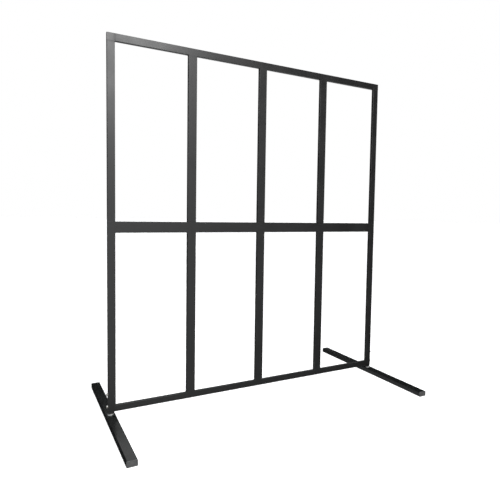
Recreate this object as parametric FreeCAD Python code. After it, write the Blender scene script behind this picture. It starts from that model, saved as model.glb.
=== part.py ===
import FreeCAD, Part
import math
import os
from FreeCAD import Vector

# Free-standing partition wall: an open steel frame of four by two bays on two swivelling feet.
# Millimetres. +X to the right, +Y to the rear, +Z up. The origin is on the floor, under the
# middle of the panel.

# Panel
panel_width = 1800.0
panel_height = 2000.0
panel_depth = 20.0
upright_width = 40.0
mullion_width = 50.0
top_rail_height = 40.0
mid_rail_height = 60.0
bottom_rail_height = 35.0
tube_wall = 1.5
tube_corner = 2.0
inner_corner = 0.5

# Inner tubes that join the upper frame to the lower one
spigot_wall = 2.0
spigot_length_down = 80.0
spigot_length_up = 60.0
stub_height = 45.0
joint_clearance = 0.3

# Screws that lock the five legs of the upper frame
leg_screw_diameter = 5.0
leg_screw_height = 25.0
leg_screw_length = 8.0
leg_screw_head_diameter = 9.5
leg_screw_head_height = 2.7
leg_screw_head_round = 1.6
leg_screw_socket = 3.0
leg_screw_socket_depth = 1.6

# Feet
foot_length = 1090.0
foot_width = 50.0
foot_height = 30.0
foot_wall = 2.0
foot_corner = 3.5

# Moulded caps and plugs that close the tube ends
cap_head = 4.0
plug_head = 3.0
cap_skirt_length = 18.0
cap_skirt_wall = 2.0
cap_chamfer = 1.0
cap_clearance = 0.2

# Black steel block inside each lower upright, and the two plated bolts that hold it
block_width = 25.0
block_rise = 118.0
block_drop = 11.7
block_chamfer = 1.0
block_bolt_diameter = 8.0
block_bolt_head_flats = 13.0
block_bolt_head_height = 5.3
block_bolt_heights = (30.0, 96.0)
block_bolt_end_wall = 4.0
block_washer_diameter = 16.0
block_washer_thickness = 1.6

# Swivel under each block
pivot_diameter = 10.0
pivot_head_flats = 16.0
pivot_head_height = 6.4
pivot_thread_rise = 18.0
pivot_hole_runout = 5.0
pivot_washer_diameter = 20.0
pivot_washer_thickness = 2.0
swivel_washer_diameter = 30.0
swivel_washer_thickness = 4.0
access_hole_diameter = 24.0

# Hexagon heads: the bevel that cuts their corners
head_bevel_angle = 30.0
head_bevel_circle = 0.95

# Fits
running_gap = 0.3
running_fit = 0.05
thread_clearance = 0.1
bolt_clearance = 0.5
cut_margin = 1.0

# Places worked out from the sizes above
AXIS_X = Vector(1, 0, 0)
AXIS_Y = Vector(0, 1, 0)
AXIS_Z = Vector(0, 0, 1)
half_width = panel_width / 2
half_depth = panel_depth / 2
foot_gap = swivel_washer_thickness + running_gap + block_drop
panel_bottom = foot_height + foot_gap
panel_top = panel_bottom + panel_height
bay_height = (panel_height - top_rail_height - mid_rail_height - bottom_rail_height) / 2
bottom_rail_top = panel_bottom + bottom_rail_height
mid_rail_bottom = bottom_rail_top + bay_height
seam = mid_rail_bottom + mid_rail_height
top_rail_bottom = panel_top - top_rail_height
mullion_names = ("left", "centre", "right")
bay_count = len(mullion_names) + 1
bay_width = (panel_width - 2 * upright_width - len(mullion_names) * mullion_width) / bay_count
upright_inside = half_width - upright_width
pivot_x = half_width - tube_wall - block_width / 2
bore_corner = max(tube_corner - tube_wall, inner_corner)
block_depth = panel_depth - 2 * tube_wall - 2 * joint_clearance
block_bottom = panel_bottom - block_drop
foot_ceiling = foot_height - foot_wall
swivel_hole_diameter = pivot_diameter + 2 * running_fit
pivot_thread_hole = pivot_diameter + 2 * thread_clearance
block_bolt_thread_hole = block_bolt_diameter + 2 * thread_clearance


def solid_bar(low, high, axis, corner):
    """Solid rectangular bar from one corner to the other, its four long edges rounded."""
    size = high - low
    box = Part.makeBox(size.x, size.y, size.z, low)
    long_edges = [edge for edge in box.Edges if abs(edge.tangentAt(edge.FirstParameter).dot(axis)) > 0.9]
    return box.makeFillet(corner, long_edges)


def hollow_bar(low, high, axis, wall, corner):
    """Rectangular tube, open at both ends."""
    inset = (Vector(1, 1, 1) - axis) * wall
    bore = solid_bar(low + inset, high - inset, axis, max(corner - wall, inner_corner))
    return solid_bar(low, high, axis, corner).cut(bore)


def rod(diameter, length, base, axis):
    """Round bar from its base along the axis."""
    return Part.makeCylinder(diameter / 2, length, base, axis)


def wall_hole(diameter, wall, base, outward):
    """Cutter for a round hole through a tube wall, from a point on its outer face."""
    return rod(diameter, wall + 2 * cut_margin, base + outward * cut_margin, -outward)


def ring(outer, inner, thickness, base, axis):
    """Flat washer."""
    return rod(outer, thickness, base, axis).cut(rod(inner, thickness, base, axis))


def hex_head(flats, height, base, axis):
    """Hexagon bolt head, its outer corners cut by a shallow cone."""
    radius = flats / math.sqrt(3)
    corners = [math.radians(60 * i) for i in range(7)]
    points = [Vector(radius * math.cos(angle), radius * math.sin(angle), 0) for angle in corners]
    prism = Part.Face(Part.makePolygon(points)).extrude(Vector(0, 0, height))
    tip_radius = flats / 2 * head_bevel_circle
    drop = (radius - tip_radius) * math.tan(math.radians(head_bevel_angle))
    turned = Part.makeCylinder(radius, height - drop)
    nose = Part.makeCone(radius, tip_radius, drop, Vector(0, 0, height - drop))
    head = prism.common(turned.fuse(nose))
    head.Placement = FreeCAD.Placement(base, FreeCAD.Rotation(AXIS_Z, axis))
    return head


def on_side(shape, side):
    """Right-hand pieces are drawn on +X. The left-hand ones are their mirror images."""
    if side == "right":
        return shape
    return shape.mirror(Vector(0, 0, 0), AXIS_X)


def upright(bottom, top):
    """Right-hand upright between two heights."""
    low = Vector(upright_inside, -half_depth, bottom)
    high = Vector(half_width, half_depth, top)
    return hollow_bar(low, high, AXIS_Z, tube_wall, tube_corner)


def mullion_place(index):
    """Middle of a mullion, counted from the left."""
    pitch = bay_width + mullion_width
    return -upright_inside + bay_width + mullion_width / 2 + index * pitch


def mullion(index, bottom, top):
    """Inner upright between two rails."""
    middle = mullion_place(index)
    low = Vector(middle - mullion_width / 2, -half_depth, bottom)
    high = Vector(middle + mullion_width / 2, half_depth, top)
    return hollow_bar(low, high, AXIS_Z, tube_wall, tube_corner)


def rail(half_length, bottom, top):
    """Horizontal tube, centred on the panel."""
    low = Vector(-half_length, -half_depth, bottom)
    high = Vector(half_length, half_depth, top)
    return hollow_bar(low, high, AXIS_X, tube_wall, tube_corner)


def inner_tube(middle, outer_width, bottom, top):
    """Tube that slides inside an upright or mullion of the given outer width."""
    half_x = outer_width / 2 - tube_wall - joint_clearance
    half_y = half_depth - tube_wall - joint_clearance
    low = Vector(middle - half_x, -half_y, bottom)
    high = Vector(middle + half_x, half_y, top)
    return hollow_bar(low, high, AXIS_Z, spigot_wall, tube_corner)


def leg_screw_base(middle):
    """Centre of a locking screw, on the rear face of its leg."""
    return Vector(middle, half_depth, seam + leg_screw_height)


def leg_hole(middle):
    """Clearance hole through the rear wall of an upper leg."""
    return wall_hole(leg_screw_diameter + bolt_clearance, tube_wall, leg_screw_base(middle), AXIS_Y)


def tapped_hole(middle):
    """Hole for the screw through the rear wall of a spigot or stub."""
    depth = tube_wall + joint_clearance + spigot_wall
    return wall_hole(leg_screw_diameter + 2 * thread_clearance, depth, leg_screw_base(middle), AXIS_Y)


def leg_screw(middle):
    """Button-head screw with a hexagon socket, driven in from the rear."""
    base = leg_screw_base(middle)
    head = rod(leg_screw_head_diameter, leg_screw_head_height, base, AXIS_Y)
    middle_y = base.y + leg_screw_head_height / 2
    rim = [edge for edge in head.Edges if edge.Closed and edge.CenterOfMass.y > middle_y]
    head = head.makeFillet(leg_screw_head_round, rim)
    socket_base = base + AXIS_Y * (leg_screw_head_height - leg_screw_socket_depth)
    socket = hex_head(leg_screw_socket, leg_screw_head_height, socket_base, AXIS_Y)
    shank = rod(leg_screw_diameter, leg_screw_length, base, -AXIS_Y)
    return head.fuse(shank).cut(socket)


def end_cap(width, height, head, wall, corner):
    """Moulded cap for a tube that runs along +Y. Its seat against the tube end is at y = 0."""
    low = Vector(-width / 2, 0, -height / 2)
    high = Vector(width / 2, head, height / 2)
    plate = solid_bar(low, high, AXIS_Y, corner)
    rim = [edge for edge in plate.Edges if abs(edge.CenterOfMass.y - head) < 0.001]
    plate = plate.makeChamfer(cap_chamfer, rim)
    inset = wall + cap_clearance
    skirt_low = Vector(-width / 2 + inset, -cap_skirt_length, -height / 2 + inset)
    skirt_high = Vector(width / 2 - inset, 0, height / 2 - inset)
    skirt = hollow_bar(skirt_low, skirt_high, AXIS_Y, cap_skirt_wall, max(corner - inset, inner_corner))
    return plate.fuse(skirt).removeSplitter()


def top_rail_plug():
    """Plug in the right-hand end of the top rail."""
    plug = end_cap(panel_depth, top_rail_height, plug_head, tube_wall, tube_corner)
    plug.rotate(Vector(0, 0, 0), AXIS_Z, -90)
    plug.translate(Vector(half_width - plug_head, 0, panel_top - top_rail_height / 2))
    return plug


def foot_cap(end):
    """Cap on the front (-1) or rear (+1) end of the right-hand foot."""
    cap = end_cap(foot_width, foot_height, cap_head, foot_wall, foot_corner)
    if end < 0:
        cap.rotate(Vector(0, 0, 0), AXIS_Z, 180)
    cap.translate(Vector(pivot_x, end * (foot_length / 2 - cap_head), foot_height / 2))
    return cap


def foot_tube():
    """Right-hand foot: a flat tube with the swivel hole above and the spanner hole below."""
    half_tube = foot_length / 2 - cap_head
    low = Vector(pivot_x - foot_width / 2, -half_tube, 0)
    high = Vector(pivot_x + foot_width / 2, half_tube, foot_height)
    tube = hollow_bar(low, high, AXIS_Y, foot_wall, foot_corner)
    swivel_hole = wall_hole(swivel_hole_diameter, foot_wall, Vector(pivot_x, 0, foot_height), AXIS_Z)
    spanner_hole = wall_hole(access_hole_diameter, foot_wall, Vector(pivot_x, 0, 0), -AXIS_Z)
    return tube.cut(swivel_hole).cut(spanner_hole)


def swivel_washer():
    """Plated washer that the block turns on, fixed to the top of the foot."""
    base = Vector(pivot_x, 0, foot_height)
    return ring(swivel_washer_diameter, swivel_hole_diameter, swivel_washer_thickness, base, AXIS_Z)


def block_bolt_base(height):
    """Centre of a block bolt, on the outer face of the right-hand upright."""
    return Vector(half_width, 0, panel_bottom + height)


def foot_block():
    """Block against the outer wall inside the upright. Its lower end stands below it."""
    low = Vector(pivot_x - block_width / 2, -block_depth / 2, block_bottom)
    high = Vector(pivot_x + block_width / 2, block_depth / 2, panel_bottom + block_rise)
    block = solid_bar(low, high, AXIS_Z, bore_corner + block_chamfer)
    level = [edge for edge in block.Edges if abs(edge.tangentAt(edge.FirstParameter).z) < 0.1]
    lower_edges = [edge for edge in level if edge.CenterOfMass.z < panel_bottom]
    block = block.makeChamfer(block_chamfer, lower_edges)
    depth = block_drop + pivot_thread_rise + pivot_hole_runout
    block = block.cut(rod(pivot_thread_hole, depth, Vector(pivot_x, 0, block_bottom), AXIS_Z))
    for height in block_bolt_heights:
        base = block_bolt_base(height)
        bolt_hole = wall_hole(block_bolt_thread_hole, tube_wall + block_width, base, AXIS_X)
        block = block.cut(bolt_hole)
    return block


def block_bolts():
    """Two hexagon bolts through the outer wall of the upright into the block."""
    bolts = []
    for height in block_bolt_heights:
        base = block_bolt_base(height)
        seat = base + AXIS_X * block_washer_thickness
        head = hex_head(block_bolt_head_flats, block_bolt_head_height, seat, AXIS_X)
        reach = block_washer_thickness + tube_wall + block_width - block_bolt_end_wall
        bolts.append(head.fuse(rod(block_bolt_diameter, reach, seat, -AXIS_X)).removeSplitter())
    return Part.makeCompound(bolts)


def block_washers():
    """Washers under the two block bolts."""
    hole = block_bolt_diameter + bolt_clearance
    washers = [ring(block_washer_diameter, hole, block_washer_thickness, block_bolt_base(height), AXIS_X)
               for height in block_bolt_heights]
    return Part.makeCompound(washers)


def pivot_washer():
    """Washer between the pivot bolt's head and the ceiling of the foot."""
    base = Vector(pivot_x, 0, foot_ceiling - running_gap)
    return ring(pivot_washer_diameter, pivot_thread_hole, pivot_washer_thickness, base, -AXIS_Z)


def pivot_bolt():
    """Hexagon bolt from inside the foot up into the block. The foot turns on it."""
    seat = Vector(pivot_x, 0, foot_ceiling - running_gap - pivot_washer_thickness)
    head = hex_head(pivot_head_flats, pivot_head_height, seat, -AXIS_Z)
    reach = panel_bottom + pivot_thread_rise - seat.z
    return head.fuse(rod(pivot_diameter, reach, seat, AXIS_Z)).removeSplitter()


def lower_upright():
    """Right-hand lower upright, drilled for the block bolts."""
    tube = upright(panel_bottom, seam)
    hole = block_bolt_diameter + bolt_clearance
    for height in block_bolt_heights:
        tube = tube.cut(wall_hole(hole, tube_wall, block_bolt_base(height), AXIS_X))
    return tube


def build():
    """All the pieces, by name."""
    spigot_x = half_width - upright_width / 2
    parts = {
        "bottom_rail": rail(upright_inside, panel_bottom, bottom_rail_top),
        "mid_rail": rail(upright_inside, mid_rail_bottom, seam),
        "top_rail": rail(half_width - plug_head, top_rail_bottom, panel_top),
    }
    for side in ("left", "right"):
        spigot = inner_tube(spigot_x, upright_width, seam - spigot_length_down, seam + spigot_length_up)
        pieces = {
            "lower_upright": lower_upright(),
            "upper_upright": upright(seam, top_rail_bottom).cut(leg_hole(spigot_x)),
            "upright_spigot": spigot.cut(tapped_hole(spigot_x)),
            "top_rail_plug": top_rail_plug(),
            "foot_block": foot_block(),
            "block_bolts": block_bolts(),
            "block_washers": block_washers(),
            "pivot_bolt": pivot_bolt(),
            "pivot_washer": pivot_washer(),
            "swivel_washer": swivel_washer(),
            "foot_tube": foot_tube(),
        }
        for name, shape in pieces.items():
            parts[name + "_" + side] = on_side(shape, side)
        parts["foot_cap_" + side + "_front"] = on_side(foot_cap(-1), side)
        parts["foot_cap_" + side + "_rear"] = on_side(foot_cap(1), side)
    screws = [leg_screw(-spigot_x), leg_screw(spigot_x)]
    for index, name in enumerate(mullion_names):
        middle = mullion_place(index)
        stub = inner_tube(middle, mullion_width, seam, seam + stub_height)
        parts["lower_mullion_" + name] = mullion(index, bottom_rail_top, mid_rail_bottom)
        parts["upper_mullion_" + name] = mullion(index, seam, top_rail_bottom).cut(leg_hole(middle))
        parts["mullion_stub_" + name] = stub.cut(tapped_hole(middle))
        screws.append(leg_screw(middle))
    parts["leg_screws"] = Part.makeCompound(screws)
    return parts


os.makedirs("parts", exist_ok=True)
for node, shape in build().items():
    print(node, len(shape.Solids), shape.isValid(), round(shape.Volume, 1))
    shape.exportStep("parts/" + node + ".step")
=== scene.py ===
import logging
import math
from collections.abc import Callable, Iterable, Sequence
from dataclasses import dataclass
from enum import Enum

import bmesh
import bpy
from mathutils import Matrix, Vector


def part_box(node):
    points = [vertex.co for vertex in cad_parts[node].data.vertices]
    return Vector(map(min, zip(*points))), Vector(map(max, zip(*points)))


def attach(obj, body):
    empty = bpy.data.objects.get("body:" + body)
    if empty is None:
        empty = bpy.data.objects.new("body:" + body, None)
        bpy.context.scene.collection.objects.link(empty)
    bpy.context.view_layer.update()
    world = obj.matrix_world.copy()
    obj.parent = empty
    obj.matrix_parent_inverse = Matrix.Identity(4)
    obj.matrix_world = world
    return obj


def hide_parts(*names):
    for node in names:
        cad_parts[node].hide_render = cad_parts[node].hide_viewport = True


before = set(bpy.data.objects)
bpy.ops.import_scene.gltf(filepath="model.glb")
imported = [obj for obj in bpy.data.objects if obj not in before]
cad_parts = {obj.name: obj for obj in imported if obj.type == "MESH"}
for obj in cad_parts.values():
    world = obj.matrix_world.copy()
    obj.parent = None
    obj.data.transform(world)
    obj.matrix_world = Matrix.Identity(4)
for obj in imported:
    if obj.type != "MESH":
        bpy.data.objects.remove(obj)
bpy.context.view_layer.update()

MM = 0.001
AXIS_X = Vector((1, 0, 0))
AXIS_Y = Vector((0, 1, 0))
AXIS_Z = Vector((0, 0, 1))
SMOOTH_ANGLE = math.radians(40)
PARALLEL = 0.999
SAME_PLACE = 0.05 * MM
SHARP_DETAIL = math.radians(28)

log = logging.getLogger("partition_wall")

FaceTest = Callable[[Vector, Vector], bool]
EdgeTest = Callable[[Vector, Vector], bool]


class Side(Enum):
    """The two ends of the wall, seen from the front, with their sign along X."""

    LEFT = -1
    RIGHT = 1

    @property
    def word(self) -> str:
        """The side's name as the frame's nodes spell it."""
        return self.name.lower()


class FootEnd(Enum):
    """The two ends of a foot, with their sign along Y."""

    FRONT = -1
    REAR = 1

    @property
    def word(self) -> str:
        """The end's name as the frame's nodes spell it."""
        return self.name.lower()


class Body(Enum):
    """The rigid bodies that pieces ride on."""

    PANEL = "panel"
    LEFT_FOOT = "left_foot"
    RIGHT_FOOT = "right_foot"


MULLION_WORDS = ("left", "centre", "right")


# ----------------------------------------------------------------------------------------------
# Modelling tools
# ----------------------------------------------------------------------------------------------


def clear_selection() -> None:
    """Leaves object mode with nothing selected and nothing active."""
    if bpy.context.object is not None and bpy.context.object.mode != "OBJECT":
        bpy.ops.object.mode_set(mode="OBJECT")
    bpy.ops.object.select_all(action="DESELECT")
    bpy.context.view_layer.objects.active = None


def take(piece: bpy.types.Object) -> None:
    """Makes one piece the only selected and active one.

    Args:
        piece: The piece to work on.
    """
    clear_selection()
    piece.select_set(True)
    bpy.context.view_layer.objects.active = piece


def finish_primitive(name: str, scale: Vector) -> bpy.types.Object:
    """Names the primitive just added and puts its size and place into its mesh.

    Args:
        name: The piece's name.
        scale: The factor along each axis.

    Returns:
        The new piece, at the origin, unturned and unscaled.
    """
    piece = bpy.context.object
    piece.name = name
    piece.data.name = name
    piece.scale = scale
    bpy.ops.object.transform_apply(location=True, rotation=True, scale=True)
    return piece


def new_block(name: str, low: Vector, high: Vector) -> bpy.types.Object:
    """Adds a rectangular block between two corners.

    Args:
        name: The piece's name.
        low: Its lowest corner, in metres.
        high: Its highest corner, in metres.

    Returns:
        The block.
    """
    clear_selection()
    bpy.ops.mesh.primitive_cube_add(size=1, location=(low + high) / 2)
    return finish_primitive(name, high - low)


def new_rod(name: str, radius: float, length: float, sides: int = 48,
            base: float = 0.0) -> bpy.types.Object:
    """Adds a round bar that stands on the Z axis.

    Args:
        name: The piece's name.
        radius: Its radius, in metres.
        length: Its length, in metres.
        sides: How many flats its round has.
        base: The height of its lower end, in metres.

    Returns:
        The bar.
    """
    clear_selection()
    bpy.ops.mesh.primitive_cylinder_add(
        vertices=sides, radius=radius, depth=length, location=(0, 0, base + length / 2)
    )
    return finish_primitive(name, Vector((1, 1, 1)))


def pick_faces(piece: bpy.types.Object, test: FaceTest) -> None:
    """Enters edit mode with only the faces that pass a test selected.

    Args:
        piece: The piece to edit.
        test: Takes a face's middle and its normal.
    """
    if bpy.context.object != piece or piece.mode != "EDIT":
        take(piece)
        bpy.ops.object.mode_set(mode="EDIT")
    bpy.ops.mesh.select_mode(type="FACE")
    bpy.ops.mesh.select_all(action="DESELECT")
    mesh = bmesh.from_edit_mesh(piece.data)
    for face in mesh.faces:
        face.select_set(test(face.calc_center_median(), face.normal))
    bmesh.update_edit_mesh(piece.data)


def pick_edges(piece: bpy.types.Object, test: EdgeTest) -> None:
    """Enters edit mode with only the edges that pass a test selected.

    Args:
        piece: The piece to edit.
        test: Takes the places of an edge's two ends.
    """
    if bpy.context.object != piece or piece.mode != "EDIT":
        take(piece)
        bpy.ops.object.mode_set(mode="EDIT")
    bpy.ops.mesh.select_mode(type="EDGE")
    bpy.ops.mesh.select_all(action="DESELECT")
    mesh = bmesh.from_edit_mesh(piece.data)
    for edge in mesh.edges:
        edge.select_set(test(edge.verts[0].co, edge.verts[1].co))
    bmesh.update_edit_mesh(piece.data)


def bevel_picked(width: float, segments: int = 1) -> None:
    """Bevels the selected edges.

    Args:
        width: How far the bevel runs back from the edge, in metres.
        segments: How many strips it has. One is a chamfer.
    """
    bpy.ops.mesh.bevel(
        offset_type="OFFSET", offset=width, segments=segments, profile=0.5, affect="EDGES",
        clamp_overlap=True,
    )


def push_picked(way: Vector) -> None:
    """Extrudes the selected faces along a vector.

    Args:
        way: The direction and distance, in metres.
    """
    bpy.ops.mesh.extrude_region_move(TRANSFORM_OT_translate={"value": way})


def along(axis: Vector) -> EdgeTest:
    """A test for edges that run along an axis.

    Args:
        axis: A unit vector.

    Returns:
        The test.
    """
    return lambda a, b: abs((b - a).normalized().dot(axis)) > PARALLEL


def facing(way: Vector, level: float | None = None) -> FaceTest:
    """A test for flat faces that look along a direction.

    Args:
        way: The direction, a unit vector.
        level: Where the face lies along that direction, or None for any place.

    Returns:
        The test.
    """
    def test(middle: Vector, normal: Vector) -> bool:
        """True for a face that looks that way at that place."""
        return normal.dot(way) > PARALLEL and (level is None or abs(middle.dot(way) - level) < SAME_PLACE)

    return test


def apply_modifier(piece: bpy.types.Object, kind: str, **settings: object) -> None:
    """Adds one modifier and applies it at once.

    Args:
        piece: The piece that it shapes.
        kind: The modifier's type.
        **settings: The values to give it.
    """
    take(piece)
    modifier = piece.modifiers.new(kind.lower(), kind)
    for name, value in settings.items():
        setattr(modifier, name, value)
    bpy.ops.object.modifier_apply(modifier=modifier.name)


def combine(piece: bpy.types.Object, tool: bpy.types.Object, how: str) -> None:
    """Cuts a piece with a tool, or keeps what the two share, and removes the tool.

    Args:
        piece: The piece that is kept.
        tool: The shape that works on it.
        how: DIFFERENCE, INTERSECT or UNION.
    """
    apply_modifier(piece, "BOOLEAN", object=tool, operation=how, solver="EXACT")
    bpy.data.objects.remove(tool, do_unlink=True)


def smooth(piece: bpy.types.Object, angle: float = SMOOTH_ANGLE) -> bpy.types.Object:
    """Closes a piece, turns its faces outwards and shades it, with its flats kept flat.

    Args:
        piece: The piece.
        angle: Edges sharper than this stay sharp, in radians.

    Returns:
        The same piece.
    """
    take(piece)
    bpy.ops.object.mode_set(mode="EDIT")
    bpy.ops.mesh.select_all(action="SELECT")
    bpy.ops.mesh.remove_doubles(threshold=0.002 * MM)
    bpy.ops.mesh.normals_make_consistent(inside=False)
    bpy.ops.object.mode_set(mode="OBJECT")
    bpy.ops.object.shade_smooth_by_angle(angle=angle)
    apply_modifier(piece, "WEIGHTED_NORMAL", keep_sharp=True, weight=80)
    clear_selection()
    return piece


def copy_to(source: bpy.types.Object, name: str, place: Matrix) -> bpy.types.Object:
    """Copies a piece with a mesh of its own and moves that mesh.

    Args:
        source: The piece to copy.
        name: The copy's name.
        place: A turn and a move, with no mirror in it.

    Returns:
        The copy, at the origin.
    """
    mesh = source.data.copy()
    mesh.name = name
    mesh.transform(place)
    copy = bpy.data.objects.new(name, mesh)
    bpy.context.scene.collection.objects.link(copy)
    return copy


def join(name: str, pieces: Sequence[bpy.types.Object]) -> bpy.types.Object:
    """Makes one piece of several.

    Args:
        name: The joined piece's name.
        pieces: The pieces, which lose their own names.

    Returns:
        The joined piece.
    """
    take(pieces[0])
    for piece in pieces:
        piece.select_set(True)
    bpy.ops.object.join()
    joined = bpy.context.object
    joined.name = name
    joined.data.name = name
    clear_selection()
    return joined


def facing_turn(way: Vector) -> Matrix:
    """The turn that takes +Z to a direction.

    Args:
        way: A unit vector.

    Returns:
        A rotation matrix.
    """
    return AXIS_Z.rotation_difference(way).to_matrix().to_4x4()


def dress(piece: bpy.types.Object, material: bpy.types.Material, body: Body,
          nodes: Iterable[str] = ()) -> bpy.types.Object:
    """Gives a new piece its material, its body and the frame nodes that it stands for.

    Args:
        piece: The new piece.
        material: Its material.
        body: The body that it rides on.
        nodes: The frame nodes that it replaces.

    Returns:
        The same piece.
    """
    piece.data.materials.clear()
    piece.data.materials.append(material)
    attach(piece, body.value)
    if nodes:
        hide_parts(*nodes)
    log.info("%s: %s, on %s", piece.name, material.name, body.value)
    return piece


def coat_node(node: str, material: bpy.types.Material) -> None:
    """Gives a frame node that stays in view its material.

    Args:
        node: The node's name.
        material: Its material.
    """
    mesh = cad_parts[node].data
    if mesh.materials:
        for index in range(len(mesh.materials)):
            mesh.materials[index] = material
    else:
        mesh.materials.append(material)
    log.info("%s: %s, shape from the frame", node, material.name)


# ----------------------------------------------------------------------------------------------
# Finishes
# ----------------------------------------------------------------------------------------------


class NodeBoard:
    """A material's node tree, with short ways to add the nodes that the finishes share."""

    def __init__(self, name: str) -> None:
        """Starts a material that holds one shader.

        Args:
            name: The material's name.
        """
        self.material = bpy.data.materials.new(name)
        self.material.use_nodes = True
        self.tree = self.material.node_tree
        self.shader = next(n for n in self.tree.nodes if n.type == "BSDF_PRINCIPLED")
        self.coordinates = self.tree.nodes.new("ShaderNodeTexCoord")

    @property
    def place(self) -> bpy.types.NodeSocket:
        """The point on the object, in metres."""
        return self.coordinates.outputs["Object"]

    def feed(self, socket: bpy.types.NodeSocket, value: object) -> None:
        """Links a socket to another one, or sets its value.

        Args:
            socket: The input.
            value: An output socket, a number or a colour.
        """
        if isinstance(value, bpy.types.NodeSocket):
            self.tree.links.new(value, socket)
        else:
            socket.default_value = value

    def noise(self, scale: float, detail: float = 2.0, stretch: Vector | None = None,
              rough: float = 0.5) -> bpy.types.NodeSocket:
        """Adds a noise.

        Args:
            scale: How many lumps there are to a metre.
            detail: How many finer layers it has.
            stretch: Factors on the place, where the lumps are longer one way, or None.
            rough: How strong the finer layers are.

        Returns:
            The noise's value, from 0 to 1.
        """
        node = self.tree.nodes.new("ShaderNodeTexNoise")
        node.inputs["Scale"].default_value = scale
        node.inputs["Detail"].default_value = detail
        node.inputs["Roughness"].default_value = rough
        source = self.place
        if stretch is not None:
            mapping = self.tree.nodes.new("ShaderNodeMapping")
            mapping.inputs["Scale"].default_value = stretch
            self.tree.links.new(source, mapping.inputs["Vector"])
            source = mapping.outputs["Vector"]
        self.tree.links.new(source, node.inputs["Vector"])
        return node.outputs["Fac"]

    def cells(self, scale: float) -> bpy.types.NodeSocket:
        """Adds small round cells.

        Args:
            scale: How many cells there are to a metre.

        Returns:
            The distance from each cell's middle.
        """
        node = self.tree.nodes.new("ShaderNodeTexVoronoi")
        node.inputs["Scale"].default_value = scale
        self.tree.links.new(self.place, node.inputs["Vector"])
        return node.outputs["Distance"]

    def reach(self, value: object, low: float, high: float, to_low: float = 0.0,
              to_high: float = 1.0) -> bpy.types.NodeSocket:
        """Maps a range onto another, smoothly and clamped.

        Args:
            value: The input.
            low: The value that gives to_low.
            high: The value that gives to_high.
            to_low: The first result.
            to_high: The last result.

        Returns:
            The mapped value.
        """
        node = self.tree.nodes.new("ShaderNodeMapRange")
        node.interpolation_type = "SMOOTHSTEP"
        self.feed(node.inputs["Value"], value)
        for name, number in zip(("From Min", "From Max", "To Min", "To Max"), (low, high, to_low, to_high)):
            node.inputs[name].default_value = number
        return node.outputs["Result"]

    def work(self, how: str, first: object, second: object = 0.0) -> bpy.types.NodeSocket:
        """Adds a sum.

        Args:
            how: The sum's name, such as ADD or MULTIPLY.
            first: The first value.
            second: The second value.

        Returns:
            The result.
        """
        node = self.tree.nodes.new("ShaderNodeMath")
        node.operation = how
        self.feed(node.inputs[0], first)
        self.feed(node.inputs[1], second)
        return node.outputs[0]

    def blend(self, share: object, first: Sequence[float], second: object) -> bpy.types.NodeSocket:
        """Mixes two colours.

        Args:
            share: How much of the second one there is.
            first: The first colour, or its socket.
            second: The second colour.

        Returns:
            The mixed colour.
        """
        node = self.tree.nodes.new("ShaderNodeMix")
        node.data_type = "RGBA"
        self.feed(node.inputs["Factor"], share)
        self.feed(node.inputs["A"], first)
        self.feed(node.inputs["B"], second)
        return node.outputs["Result"]

    def parts_of(self, vector: bpy.types.NodeSocket) -> list[bpy.types.NodeSocket]:
        """Splits a vector.

        Args:
            vector: The vector's socket.

        Returns:
            Its X, Y and Z.
        """
        node = self.tree.nodes.new("ShaderNodeSeparateXYZ")
        self.tree.links.new(vector, node.inputs[0])
        return list(node.outputs)

    def rounded_edges(self) -> bpy.types.NodeSocket:
        """Finds the rounded corners of a squared piece.

        Returns:
            1 where the surface looks along no axis, and 0 on the flats.
        """
        sides = [self.work("ABSOLUTE", part) for part in self.parts_of(self.coordinates.outputs["Normal"])]
        largest = self.work("MAXIMUM", self.work("MAXIMUM", sides[0], sides[1]), sides[2])
        return self.reach(largest, 0.985, 0.86)

    def upward(self) -> bpy.types.NodeSocket:
        """Finds the surfaces that dust settles on.

        Returns:
            1 where the surface looks up, and 0 where it is upright or looks down.
        """
        return self.reach(self.parts_of(self.coordinates.outputs["Normal"])[2], 0.5, 0.95)

    def near(self, axis: int, levels: Iterable[float], width: float) -> bpy.types.NodeSocket | None:
        """Finds bands about some planes.

        Args:
            axis: 0, 1 or 2 for planes across X, Y or Z.
            levels: Where the planes are, in metres.
            width: How far each band reaches from its plane.

        Returns:
            1 at a plane and 0 outside its band, or None where there is no plane.
        """
        found = None
        place = self.parts_of(self.place)[axis]
        for level in levels:
            distance = self.work("ABSOLUTE", self.work("SUBTRACT", place, level))
            band = self.reach(distance, width, width * 0.35)
            found = band if found is None else self.work("MAXIMUM", found, band)
        return found

    def bump(self, height: bpy.types.NodeSocket, depth: float, strength: float = 1.0,
             under: bpy.types.NodeSocket | None = None) -> bpy.types.NodeSocket:
        """Adds relief.

        Args:
            height: The relief, from 0 to 1.
            depth: How deep it is, in metres.
            strength: How much of it counts.
            under: The relief that it lies on, or None.

        Returns:
            The normal.
        """
        node = self.tree.nodes.new("ShaderNodeBump")
        node.inputs["Strength"].default_value = strength
        node.inputs["Distance"].default_value = depth
        self.tree.links.new(height, node.inputs["Height"])
        if under is not None:
            self.tree.links.new(under, node.inputs["Normal"])
        return node.outputs["Normal"]

    def shade(self, **values: object) -> bpy.types.Material:
        """Sets or links the shader's inputs.

        Args:
            **values: Each input's name with spaces as underscores, and its value or socket.

        Returns:
            The finished material.
        """
        for name, value in values.items():
            self.feed(self.shader.inputs[name.replace("_", " ")], value)
        return self.material


def grey(value: float, tint: float = 0.0) -> tuple[float, float, float, float]:
    """A grey, turned a little towards green by tint.

    Args:
        value: Its lightness.
        tint: The share of green and blue added to it.

    Returns:
        The colour with its alpha.
    """
    return (value, value * (1 + tint), value * (1 + tint * 0.8), 1.0)


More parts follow.
